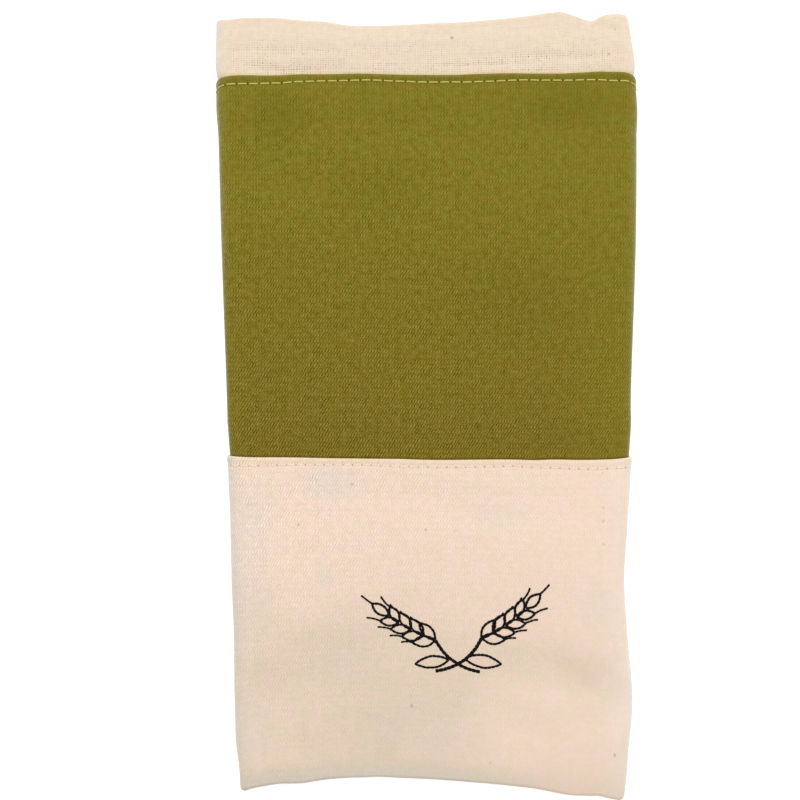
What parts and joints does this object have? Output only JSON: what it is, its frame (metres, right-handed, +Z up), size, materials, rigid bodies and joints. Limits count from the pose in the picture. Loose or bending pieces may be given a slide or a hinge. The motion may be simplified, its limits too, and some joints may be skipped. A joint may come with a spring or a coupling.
{
  "type": "folded bread bag",
  "caption": "Cloth bread bag folded flat with its sides turned under: a natural twill body below a wide olive band and a thin plain-weave collar, topstitched at both seams.",
  "frame": {"origin": "bottom centre of the bundle as it lies: the middle of its box, on the surface under it", "axes": "+Z up from the surface, +Y along the bag from its closed bottom to its mouth, +X to the right as the face is seen from above"},
  "size_m": [0.1527, 0.2846, 0.0115],
  "materials": {
    "natural_twill": "undyed ecru twill with small brown flecks",
    "olive_twill": "olive dyed twill",
    "plain_weave": "thin undyed plain weave"
  },
  "bodies": {
    "root": {"body": "natural_twill", "band": "olive_twill", "collar": "plain_weave"}
  },
  "joints": []
}
